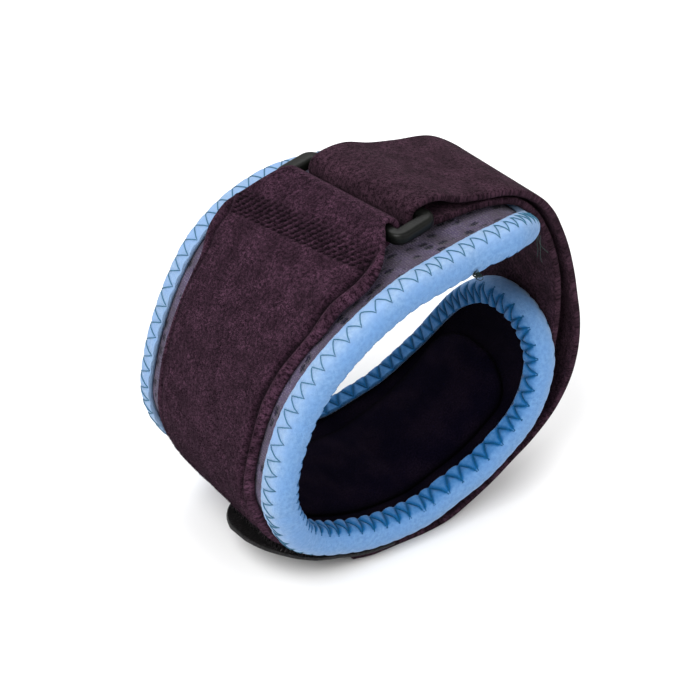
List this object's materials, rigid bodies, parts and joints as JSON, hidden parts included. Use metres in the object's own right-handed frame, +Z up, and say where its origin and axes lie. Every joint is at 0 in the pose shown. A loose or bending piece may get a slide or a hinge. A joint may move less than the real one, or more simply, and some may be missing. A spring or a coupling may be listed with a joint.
{
  "type": "tennis elbow strap",
  "caption": "Tennis elbow strap: padded forearm band with taped edges, an inner cushion, a velour panel and a hook-and-loop pull strap through a flat buckle.",
  "frame": {"origin": "under the middle of the object, on the surface that it rests on", "axes": "+Y along the axis of the loop, away from the near opening that the picture shows; +Z up as the strap rests; +X to the right seen along +Y, where the pull strap crosses the opening of the band"},
  "size_m": [0.096, 0.065, 0.0946],
  "materials": {
    "pad_mesh": "spacer mesh with rows of small dark holes, matt",
    "lining": "black brushed lining, matt",
    "tape": "soft light blue binding tape with zigzag stitches",
    "velour": "brown-black loop velour with a short mottled nap",
    "hooks": "fine black nylon hooks on a woven back",
    "buckle_plastic": "black moulded plastic, softly glossy"
  },
  "bodies": {
    "root": {"mesh_pad": "pad_mesh", "inner_lining": "lining", "pressure_cushion": "lining", "edge_binding": "tape", "velour_panel": "velour", "pull_strap": "velour", "hook_tab": "hooks", "buckle": "buckle_plastic"}
  },
  "joints": []
}
